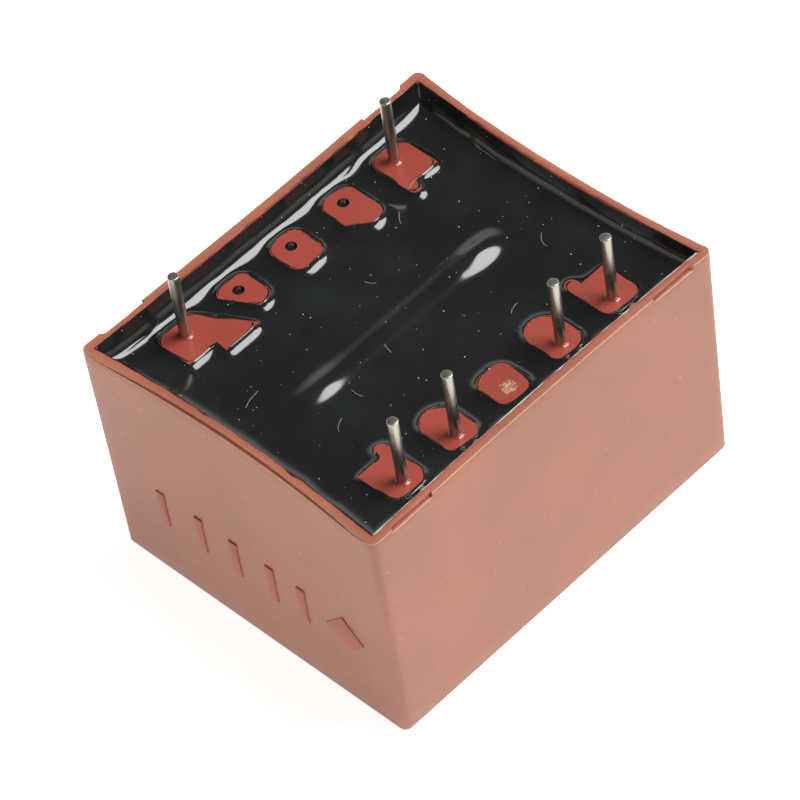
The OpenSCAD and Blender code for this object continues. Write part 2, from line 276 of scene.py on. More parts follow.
def blank(name):
    """A new material, its tree, its Principled shader and its object coordinates."""
    material = bpy.data.materials.new(name)
    material.use_nodes = True
    tree = material.node_tree
    tree.nodes.clear()
    out = add(tree, "ShaderNodeOutputMaterial")
    shader = add(tree, "ShaderNodeBsdfPrincipled")
    tree.links.new(shader.outputs["BSDF"], out.inputs["Surface"])
    place = add(tree, "ShaderNodeTexCoord")
    return material, tree, shader, place.outputs["Object"]


def grain(tree, place, size_mm, detail=3.0, roughness=0.5):
    """Noise whose features are about size_mm across."""
    return add(
        tree,
        "ShaderNodeTexNoise",
        {"Scale": 1.0 / (size_mm * MM), "Detail": detail, "Roughness": roughness},
        Vector=place,
    ).outputs["Fac"]


def mixed(tree, factor, one, two, mode="MIX"):
    """A colour between two: each is a colour value or an output."""
    item = add(tree, "ShaderNodeMix", {"data_type": "RGBA", "blend_type": mode})
    colour_a, colour_b, colour_out = 6, 7, 2
    for index, value in ((0, factor), (colour_a, one), (colour_b, two)):
        socket = item.inputs[index]
        if isinstance(value, bpy.types.NodeSocket):
            tree.links.new(value, socket)
        else:
            socket.default_value = value
    return item.outputs[colour_out]


def bump(tree, height, depth_mm, normal=None):
    """The normal of a surface that a height pattern raises by up to depth_mm."""
    item = add(tree, "ShaderNodeBump", {"Strength": 1.0, "Distance": depth_mm * MM},
               Height=height)
    if normal:
        tree.links.new(normal, item.inputs["Normal"])
    return item.outputs["Normal"]


def tone(shade, gain):
    """A lighter or darker version of a colour."""
    return tuple(min(1.0, c * gain) for c in shade[:3]) + (1.0,)


def moulded_polyester(name, shade, roughness=0.42, skin=None, worn_and_highlight=None):
    """Glass-filled thermoplastic polyester as moulded: satin, with faint flow marks and fine
    pits. On the case a per-point paleness sets the colour: the sides are paler, partly a dull
    skin and partly a painted reflection of the bright floor; the outer edges are paler still,
    partly rubbed and partly a painted highlight; the inner walls and the step in the rim keep
    the deep colour as painted shade."""
    material, tree, shader, place = blank(name)
    flow = grain(tree, place, 7.0, 2.0)
    fine = grain(tree, place, 0.25, 4.0, 0.7)
    pits = grain(tree, place, 0.6, 2.0, 0.4)
    cloud = ramp(tree, flow, [(0.35, (0.93,) * 3), (0.65, (1.07,) * 3)]).outputs[0]
    body = shade
    if skin:
        # Per-point paleness: the pale skin together with painted light, which is a painted
        # reflection on the sides, a painted highlight on the edges, and painted shade on the
        # inner walls and in the rim's step.
        bloom = add(tree, "ShaderNodeAttribute", {"attribute_name": "bloom"}).outputs["Fac"]
        spread = 0.9
        ragged = add(tree, "ShaderNodeMath",
                     {"operation": "MULTIPLY_ADD", 1: spread, 2: -spread / 2}, i0=fine)
        edge = add(tree, "ShaderNodeMath", {"operation": "ADD"}, i0=bloom, i1=ragged.outputs[0])
        # Half of the paleness is the place on the ramp, so that 0 to 2 fit on it.
        place_on_ramp = add(tree, "ShaderNodeMath", {"operation": "MULTIPLY", 1: 0.5},
                            i0=edge.outputs[0])
        # Ramp: the deep colour where shade is painted, the pale skin with its painted
        # reflection, then the rubbed edge with its painted highlight.
        stops = [(0.05, shade), (0.36, skin), (0.66, skin), (0.9, worn_and_highlight)]
        body = ramp(tree, place_on_ramp.outputs[0], stops).outputs[0]
    body = mixed(tree, 1.0, body, cloud, "MULTIPLY")
    rubbed = ramp(tree, pits, [(0.70, (0, 0, 0)), (0.78, (0.3,) * 3)]).outputs[0]
    body = mixed(tree, rubbed, body, tone(worn_and_highlight or shade, 1.0 if worn_and_highlight else 1.6))
    tree.links.new(body, shader.inputs["Base Color"])
    gloss = add(tree, "ShaderNodeMapRange",
                {"To Min": roughness - 0.05, "To Max": roughness + 0.06}, Value=flow)
    tree.links.new(gloss.outputs[0], shader.inputs["Roughness"])
    shader.inputs["IOR"].default_value = POLYMER_IOR
    pitted = bump(tree, fine, 0.006)
    tree.links.new(bump(tree, flow, 0.05, pitted), shader.inputs["Normal"])
    return material


def cast_resin(name, shade, dust):
    """Black casting resin, self-levelled: mirror-smooth, with settled dust on it."""
    material, tree, shader, place = blank(name)
    speck_spacing = 0.55 * MM
    specks = add(tree, "ShaderNodeTexVoronoi",
                 {"Scale": 1.0 / speck_spacing, "Randomness": 1.0}, Vector=place)
    jitter = grain(tree, place, 0.08, 1.0)
    # Each cell holds a speck of its own size, or none where that size is below zero.
    size = add(tree, "ShaderNodeMath", {"operation": "MULTIPLY_ADD", 1: 0.13, 2: -0.022},
               i0=specks.outputs["Color"])
    near = add(tree, "ShaderNodeMath", {"operation": "MULTIPLY_ADD", 1: 0.10, 2: -0.05},
               i0=jitter)
    reach = add(tree, "ShaderNodeMath", {"operation": "ADD"}, i0=specks.outputs["Distance"],
                i1=near.outputs[0])
    spot = add(tree, "ShaderNodeMath", {"operation": "LESS_THAN"}, i0=reach.outputs[0],
               i1=size.outputs[0])
    film = grain(tree, place, 5.0, 3.0)
    veil = ramp(tree, film, [(0.45, shade), (0.75, tone(shade, 1.6))]).outputs[0]
    body = mixed(tree, spot.outputs[0], veil, dust)
    tree.links.new(body, shader.inputs["Base Color"])
    mirror, dusty = 0.11, 0.8
    rough = add(tree, "ShaderNodeMapRange", {"To Min": mirror, "To Max": dusty},
                Value=spot.outputs[0])
    tree.links.new(rough.outputs[0], shader.inputs["Roughness"])
    shader.inputs["IOR"].default_value = POLYMER_IOR
    tree.links.new(bump(tree, film, 0.02), shader.inputs["Normal"])
    return material


def tinned_wire(name, shade):
    """Drawn copper-clad wire with a thin tin coat: grey, softly reflecting, with fine
    drawing lines along it and dull handling marks."""
    material, tree, shader, place = blank(name)
    along = add(tree, "ShaderNodeMapping", {"Scale": (1.0, 1.0, 0.04)}, Vector=place)
    lines = grain(tree, along.outputs[0], 0.06, 3.0, 0.6)
    marks = grain(tree, place, 0.5, 4.0, 0.6)
    body = mixed(tree, marks, tone(shade, 0.72), tone(shade, 1.12))
    tree.links.new(body, shader.inputs["Base Color"])
    shader.inputs["Metallic"].default_value = 1.0
    gloss = add(tree, "ShaderNodeMapRange", {"To Min": 0.22, "To Max": 0.42}, Value=marks)
    tree.links.new(gloss.outputs[0], shader.inputs["Roughness"])
    drawn = bump(tree, lines, 0.008)
    tree.links.new(bump(tree, marks, 0.012, drawn), shader.inputs["Normal"])
    return material


def wet_polyester(name, shade):
    """The same plastic under a thin clear film of resin, which makes it deep and glossy."""
    material, tree, shader, place = blank(name)
    uneven = grain(tree, place, 0.3, 2.0)
    tree.links.new(mixed(tree, uneven, tone(shade, 0.8), tone(shade, 1.05)),
                   shader.inputs["Base Color"])
    shader.inputs["Roughness"].default_value = 0.12
    shader.inputs["IOR"].default_value = POLYMER_IOR
    tree.links.new(bump(tree, uneven, 0.03), shader.inputs["Normal"])
    return material


def plain_metal(name, shade, roughness, size_mm, depth_mm):
    """A metal with a simple grain: rolled plate, wire or solder, sealed in the resin."""
    material, tree, shader, place = blank(name)
    marks = grain(tree, place, size_mm, 3.0)
    tree.links.new(mixed(tree, marks, tone(shade, 0.8), tone(shade, 1.15)),
                   shader.inputs["Base Color"])
    shader.inputs["Metallic"].default_value = 1.0
    shader.inputs["Roughness"].default_value = roughness
    tree.links.new(bump(tree, marks, depth_mm), shader.inputs["Normal"])
    return material


def wound_wire(name, shade):
    """Layers of enamelled copper wire, 0.2 mm thick, wound about the Y axis, with the grooves
    between turns darkened as painted shade.
    """
    material, tree, shader, place = blank(name)
    wire, bands_per_unit = 0.2 * MM, 20
    turns = add(tree, "ShaderNodeTexWave",
                {"bands_direction": "Y", "Scale": 1.0 / wire / bands_per_unit,
                 "Distortion": 0.6, "Detail": 1.0}, Vector=place)
    # The low grooves of the bands, which the bump sinks, get the darker tone: painted shade
    # between the turns.
    tree.links.new(mixed(tree, turns.outputs["Fac"], tone(shade, 0.55), tone(shade, 1.1)),
                   shader.inputs["Base Color"])
    shader.inputs["Metallic"].default_value = 0.9
    shader.inputs["Roughness"].default_value = 0.3
    tree.links.new(bump(tree, turns.outputs["Fac"], 0.05), shader.inputs["Normal"])
    return material


def polyester_tape(name, shade):
    """Yellow polyester film tape, smooth, with faint creases."""
    material, tree, shader, place = blank(name)
    creases = grain(tree, place, 1.5, 3.0)
    tree.links.new(mixed(tree, creases, tone(shade, 0.9), tone(shade, 1.08)),
                   shader.inputs["Base Color"])
    shader.inputs["Roughness"].default_value = 0.3
    shader.inputs["IOR"].default_value = 1.6
    tree.links.new(bump(tree, creases, 0.04), shader.inputs["Normal"])
    return material


# ------------------------------------------------------------------------ case


class CaseShape:
    """Outlines of the case at any inset and height, with the same stations on each."""

    def __init__(self, s):
        self.s = s
        self.stations = []
        corner = [i / 6 for i in range(7)]
        for side in range(4):
            long_side = side % 2 == 1
            half = (CASE_L if long_side else CASE_W) / 2 - s.corner
            places = set(np.linspace(-1, 1, 61 if long_side else 51).round(4))
            if long_side:
                ends = CASE_L / 2 - s.recess_end - s.recess_length, CASE_L / 2 - s.recess_end
                for end in ends:
                    for sign in (-1, 1):
                        for off in (-0.02, 0.02):
                            places.add(sign * (end + off) / half)
            self.stations += [(side, "side", t) for t in sorted(places)]
            self.stations += [(side, "corner", t) for t in corner[1:-1]]

    def notches(self):
        """Width and depth of the notch in the rim's outer edge at each station."""
        s, out = self.s, []
        fade = 0.04
        for side, kind, t in self.stations:
            width = depth = 0.0
            if kind == "side" and side % 2 == 0:
                width = s.step_width * (1 - t * t)
                depth = s.step_depth * min(1.0, width / fade)
            elif kind == "side":
                x = abs(t) * (CASE_L / 2 - s.corner)
                start = CASE_L / 2 - s.recess_end - s.recess_length
                if start < x < start + s.recess_length:
                    width = s.recess_depth - s.bow_long * (1 - t * t)
                    depth = s.recess_depth
            out.append((width, depth))
        return out

    def outline(self, insets, heights, radius):
        """Points of one loop. insets and heights are numbers or one value per station."""
        s, points = self.s, []
        n = len(self.stations)
        insets = insets if hasattr(insets, "__len__") else [insets] * n
        heights = heights if hasattr(heights, "__len__") else [heights] * n
        for (side, kind, t), inset, z in zip(self.stations, insets, heights):
            lean = s.draft * (1 - z / CASE_H)
            out = (CASE_W if side % 2 else CASE_L) / 2 - inset - lean
            along = (CASE_L if side % 2 else CASE_W) / 2 - inset - lean
            if kind == "side":
                bow = s.bow_long if side % 2 else s.bow_short
                rise = min(max((z - s.bow_start) / (CASE_H - s.bow_start), 0), 1)
                p = out - bow * rise * (1 - t * t), t * (along - radius)
            else:
                angle = t * math.pi / 2
                p = (out - radius + radius * math.cos(angle),
                     along - radius + radius * math.sin(angle))
            turn = side * math.pi / 2
            points.append(Vector((p[0] * math.cos(turn) - p[1] * math.sin(turn),
                                  p[0] * math.sin(turn) + p[1] * math.cos(turn), z)))
        return points

    def loops(self):
        """Outlines from the base up, over the rim and down inside, each with its paleness: 1 on
        the sides, a dull skin with a painted reflection of the bright floor; more on the outer
        edges, partly rubbed and partly a painted highlight; less across the up-facing rim top;
        near 0 in the rim's step and 0 on the inner walls, painted shade."""
        s = self.s
        notches = self.notches()
        width = [max(w, 0.05) for w, _ in notches]
        ledge = [CASE_H - d for _, d in notches]
        corner, inner = s.corner, s.inner_corner
        yield self.outline(0.22, 0.0, corner - 0.2), 1.0
        # Bottom edge a little paler: partly rubbed, partly a painted highlight.
        yield self.outline(0.06, 0.03, corner - 0.06), 1.3
        yield self.outline(0.0, 0.14, corner), 1.0
        for z in (1.5, 3, 4.5, 6, s.bow_start, 10, 12, 14, 16, 17.5, 18.6):
            yield self.outline(0.0, z, corner), 1.0
        # Outer edge of the rim: paler, partly rubbed and partly a painted highlight.
        yield self.outline(0.0, [z - 0.05 for z in ledge], corner), 1.2
        yield self.outline(0.012, [z - 0.015 for z in ledge], corner - 0.012), 1.8
        yield self.outline(0.04, ledge, corner - 0.04), 1.6
        # Inside corner of the rim's step: the deep colour, painted shade in the recess.
        yield self.outline(width, ledge, corner - 0.05), 0.1
        # Edge above the step: paler again, partly rubbed and partly a painted highlight.
        yield self.outline([w + 0.004 for w in width], [max(z, CASE_H - 0.03) for z in ledge],
                           corner - 0.06), 0.9
        yield self.outline([w + 0.03 for w in width], CASE_H, corner - 0.08), 1.5
        # Across the up-facing rim top the paleness falls inward: less painted reflection there.
        yield self.outline([w + 0.13 for w in width], CASE_H, corner - 0.14), 0.75
        yield self.outline(0.5, CASE_H, inner), 0.5
        yield self.outline(s.wall - 0.07, CASE_H, inner), 0.25
        yield self.outline(s.wall - 0.02, CASE_H - 0.02, inner), 0.1
        # Inner walls: none of the pale colour, painted shade under the rim.
        for z in (CASE_H - 0.09, 19.0, 18.4, 17.6, 16.0, 12.0, s.bow_start, FLOOR_T):
            yield self.outline(s.wall, z, inner), 0.0


def rub_rim(obj):
    """Small dents and a slightly uneven draw-in of the rim, so that no edge is ideal."""
    band, draw_in = 0.6, 0.0007
    for v in obj.data.vertices:
        x, y, z = (c / MM for c in v.co)
        rim = min(max((z - CASE_H + band) / band, 0), 1)
        if rim > 0:
            push = wave(x, y, 1.1, 1) * 0.018 + wave(x, y, 0.35, 2) * 0.012
            v.co.z += min(push - 0.015, 0) * rim * MM
            v.co.x *= 1 - draw_in * rim * (1 + wave(x, y, 0.9, 3))
            v.co.y *= 1 - draw_in * rim * (1 + wave(x, y, 0.8, 4))


def relief(s):
    """A plain row of raised bars and a lozenge on the left side, moulded with the case."""
    z = 7.1
    marks = [(y, 0.8, 3.4, 0.0) for y in (8.2, 4.6, 1.3, -2.1, -5.0)]
    marks.append((-8.9, 2.5, 2.5, math.pi / 4))
    tilt = math.atan(s.draft / CASE_H)
    face = -CASE_L / 2 + s.draft * (1 - z / CASE_H)
    pieces = []
    for y, width, height, turn in marks:
        deselect()
        bpy.ops.mesh.primitive_cube_add(size=1, location=(0, 0, 0))
        bar = named("relief_bar")
        for v in bar.data.vertices:
            v.co = Vector((v.co.x * 2 * s.relief, v.co.y * width, v.co.z * height)) * MM
        bevel = bar.modifiers.new("edges", "BEVEL")
        bevel.width, bevel.segments = 0.09 * MM, 3
        bar.rotation_euler = (turn, 0, 0)
        bar.location = (face * MM, y * MM, z * MM)
        apply_all(bar)
        # The bars get little paleness: less painted reflection than the sides, so they read
        # deeper red.
        bloom = bar.data.attributes.new("bloom", "FLOAT", "POINT")
        bloom.data.foreach_set("value", [0.2] * len(bar.data.vertices))
        bar.data.transform(Matrix.Translation((face * MM, 0, z * MM))
                           @ Matrix.Rotation(-tilt, 4, "Y")
                           @ Matrix.Translation((-face * MM, 0, -z * MM)))
        pieces.append(bar)
    return pieces


class TRAFO_OT_case(bpy.types.Operator):
    """Models the case as one moulded shell with its stepped and worn rim"""

    bl_idname = "trafo.case"
    bl_label = "Case"

    def execute(self, context):
        s = settings_of("trafo_case")
        shape = CaseShape(s)
        loops = [([p * MM for p in loop], bloom) for loop, bloom in shape.loops()]
        deselect()
        bpy.ops.mesh.primitive_circle_add(
            vertices=len(shape.stations), radius=1, fill_type="NGON"
        )
        obj = named("case_shell")
        obj.data.attributes.new("station", "INT", "POINT")
        # Per-point paleness that the plastic reads: pale skin with a painted reflection,
        # painted highlights on edges, painted shade inside.
        bloom = obj.data.attributes.new("bloom", "FLOAT", "POINT")
        bloom.data.foreach_set("value", [loops[0][1]] * len(obj.data.vertices))
        # Fetched after the other layer was added, which moves this one in memory.
        station = obj.data.attributes["station"]
        order = sorted(range(len(obj.data.vertices)), key=lambda i: math.atan2(
            obj.data.vertices[i].co.y, obj.data.vertices[i].co.x))
        for k, i in enumerate(order):
            station.data[i].value = k
            obj.data.vertices[i].co = loops[0][0][k]
        bpy.ops.object.mode_set(mode="EDIT")
        bpy.ops.mesh.select_mode(type="FACE")
        bpy.ops.mesh.select_all(action="SELECT")
        for loop, paleness in loops[1:]:
            bpy.ops.mesh.extrude_region_move()
            bm = bmesh.from_edit_mesh(obj.data)
            layer = bm.verts.layers.int["station"]
            skin = bm.verts.layers.float["bloom"]
            cap = next(f for f in bm.faces if f.select)
            for vert in cap.verts:
                vert.co = loop[vert[layer]]
                vert[skin] = paleness
            bmesh.update_edit_mesh(obj.data)
        bpy.ops.mesh.select_all(action="SELECT")
        bpy.ops.mesh.normals_make_consistent(inside=False)
        bpy.ops.object.mode_set(mode="OBJECT")
        rub_rim(obj)
        join(obj, relief(s))
        bpy.ops.object.shade_smooth_by_angle(angle=math.radians(32))
        material = moulded_polyester("moulded polyester, red-brown", s.plastic, 0.42,
                                     tuple(s.skin), tuple(s.worn_and_highlight))
        finish_piece(obj, material, "case_plastic", "case")
        return {"FINISHED"}


# ---------------------------------------------------------------------- bobbin


class TRAFO_OT_bobbin(bpy.types.Operator):
    """Gives the bobbin, whose bosses show through the resin, its moulded plastic"""

    bl_idname = "trafo.bobbin"
    bl_label = "Bobbin"

    def execute(self, context):
        material = moulded_polyester("moulded polyester, bobbin",
                                     settings_of("trafo_case").plastic, 0.36)
        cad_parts["bobbin"].data.materials.clear()
        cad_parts["bobbin"].data.materials.append(material)
        return {"FINISHED"}


# ------------------------------------------------------------------------ resin


class ResinSurface:
    """Height of the cast resin on a grid that fills the case between its bowed walls.

    The resin wets the walls and the bosses, so its height h over the level h0 follows the
    capillary equation: curvature of h = (h - h0) / capillary length squared.
    """

    NX, NY = 311, 257
    WALL_BOW = 0.94  # share of the rim's bow that the walls have at the surface
    SUNK = 0.32  # how far the surface's edge runs into the walls
    BOSS_X, BOSS_Y_IN, BOSS_Y_OUT = 12.2, 6.3, 11.6  # both rows of bosses lie within these
    SMOOTHINGS, SWEEPS, OVER_RELAXATION = 14, 700, 1.85

    def __init__(self, resin, case):
        self.resin, self.case = resin, case
        self.level = BOSS_TOP - resin.level
        u = np.linspace(-1, 1, self.NX)[None, :]
        v = np.linspace(-1, 1, self.NY)[:, None]
        half_x = CASE_L / 2 - case.wall - case.bow_short * self.WALL_BOW * (1 - v * v)
        half_y = CASE_W / 2 - case.wall - case.bow_long * self.WALL_BOW * (1 - u * u)
        self.x = u * (half_x + self.SUNK)
        self.y = v * (half_y + self.SUNK)
        self.wall_gap = np.minimum(half_x - abs(self.x), half_y - abs(self.y))

    def boss_distance(self):
        """Distance to the nearest boss outline, negative inside a boss."""
        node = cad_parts["bobbin"]
        mesh = bmesh.new()
        mesh.from_mesh(node.data)
        bmesh.ops.remove_doubles(mesh, verts=mesh.verts, dist=1e-7)
        top = [f for f in mesh.faces
               if all(abs(v.co.z / MM - BOSS_TOP) < 1e-3 for v in f.verts)]
        tops = set(top)
        edges = {e for f in top for e in f.edges if any(g not in tops for g in e.link_faces)}
        segments = []
        for e in edges:
            a, b = (np.array(v.co[:2]) / MM for v in e.verts)
            middle = (a + b) / 2
            hole = min(math.dist(middle, bore) for bore in BORES)
            if hole > BORE_AREA:
                segments.append((a, b))
        tree = BVHTree.FromBMesh(mesh)
        inside = np.zeros(self.x.shape, bool)
        rays = np.stack([self.x, self.y], -1)
        for index in np.ndindex(self.x.shape):
            px, py = rays[index]
            if abs(px) > self.BOSS_X or not self.BOSS_Y_IN <= abs(py) <= self.BOSS_Y_OUT:
                continue
            hit = tree.ray_cast(Vector((px * MM, py * MM, 1)), Vector((0, 0, -1)))
            inside[index] = hit[0] is not None and hit[0].z / MM > BOSS_TOP - 0.05
        for bx, by in BORES:
            inside |= np.hypot(self.x - bx, self.y - by) < BORE_AREA
        far_off = 9.0
        distance = np.full(self.x.shape, far_off)
        for a, b in segments:
            d = b - a
            t = ((self.x - a[0]) * d[0] + (self.y - a[1]) * d[1]) / max(d @ d, 1e-12)
            t = np.clip(t, 0, 1)
            np.minimum(distance, np.hypot(self.x - a[0] - t * d[0], self.y - a[1] - t * d[1]),
                       out=distance)
        mesh.free()
        return np.where(inside, -distance, distance)

    def solve(self):
        """Sets the heights: the slow part of the rise by relaxation on a chequered grid, then
        the steep films and the ridge on top."""
        resin = self.resin
        wavy = np.vectorize(wave)
        distance = self.boss_distance()
        for _ in range(self.SMOOTHINGS):
            distance[1:-1, 1:-1] = (distance[:-2, 1:-1] + distance[2:, 1:-1]
                                    + distance[1:-1, :-2] + distance[1:-1, 2:]) / 4
        cover = 0.06 + 0.12 * wavy(self.x, self.y, 1.1, 5.0)
        on_boss, at_wall = distance < 0, self.wall_gap < 0
        ragged = 0.035 * wavy(self.x, self.y, 0.9, 6.0) + 0.03 * wavy(self.x, self.y, 3.1, 8.0)
        h = np.full(self.x.shape, self.level)
        h[on_boss] = (BOSS_TOP - resin.boss_film + 0.3 * (cover + distance))[on_boss]
        lip = CASE_H - 0.01 + ragged - 0.5 * np.maximum(0, -self.wall_gap - 0.05)
        h[at_wall] = (lip - resin.wall_film)[at_wall]
        pull = (CASE_L / self.NX / resin.capillary) ** 2
        rows, cols = np.indices(h.shape)
        inner = np.zeros(h.shape, bool)
        inner[1:-1, 1:-1] = True
        masks = [inner & ~(on_boss | at_wall) & ((rows + cols) % 2 == k) for k in (0, 1)]
        for _ in range(self.SWEEPS):
            for mask in masks:
                around = np.zeros_like(h)
                around[1:-1, 1:-1] = (h[:-2, 1:-1] + h[2:, 1:-1] + h[1:-1, :-2] + h[1:-1, 2:])
                target = (around + pull * self.level) / (4 + pull)
                h[mask] += self.OVER_RELAXATION * (target[mask] - h[mask])
        reach = resin.film_reach * (1 + 0.25 * wavy(self.x, self.y, 2.2, 9.0))
        h += resin.boss_film * np.exp(-np.maximum(distance, 0) / reach)
        h += resin.wall_film * np.exp(-np.maximum(self.wall_gap, 0) / reach)
        self.h = h + self.ridge()

    def ridge(self):
        """Low ridge over the partition, higher at two places near its ends."""
        resin, x = self.resin, self.x
        half = resin.ridge_length / 2
        rise = resin.ridge / (1 + np.exp((abs(x) - half) / 0.35))
        for place, width, more in ((7.7, 1.8, 0.25), (-7.0, 1.6, 0.13)):
            rise += more * np.exp(-(((x - place) / width) ** 2))
        return rise * np.exp(-((self.y / resin.ridge_width) ** 2))

    def height(self, x, y):
        """Height of the surface at a place, from its nearest grid point."""
        index = np.argmin(np.hypot(self.x - x, self.y - y))
        return float(self.h.flat[index])


def hole_fill(x, y):
    """The resin's hollow surface in an open pin hole, spun about the hole's axis."""
    sunk = BORE_RADIUS + 0.03
    profile = [(0.0, -0.42), (0.12, -0.40), (0.24, -0.32), (0.34, -0.19), (0.40, -0.08),
               (BORE_RADIUS, -0.02), (sunk, -0.10), (sunk, -0.75), (0.0, -0.75)]
    return lathe("hole_fill", [(r, BOSS_TOP + z) for r, z in profile], x, y, 32)


def lathe(name, profile, x, y, steps):
    """A closed round solid from (radius, height) points that start and end on the axis."""
    deselect()
    bpy.ops.mesh.primitive_plane_add(size=1)
    obj = named(name)
    bpy.ops.object.mode_set(mode="EDIT")
    bm = bmesh.from_edit_mesh(obj.data)
    bm.clear()
    verts = [bm.verts.new((r * MM, 0, z * MM)) for r, z in profile]
    for a, b in zip(verts, verts[1:]):
        bm.edges.new((a, b))
    bmesh.update_edit_mesh(obj.data)
    bpy.ops.mesh.select_all(action="SELECT")
    bpy.ops.mesh.spin(steps=steps, angle=2 * math.pi, center=(0, 0, 0), axis=(0, 0, 1))
    bpy.ops.mesh.select_all(action="SELECT")
    bpy.ops.mesh.remove_doubles(threshold=0.002 * MM)
    bpy.ops.mesh.normals_make_consistent(inside=False)
    bpy.ops.object.mode_set(mode="OBJECT")
    obj.data.transform(Matrix.Translation((x * MM, y * MM, 0)))
    bpy.ops.object.shade_smooth_by_angle(angle=math.radians(50))
    return obj


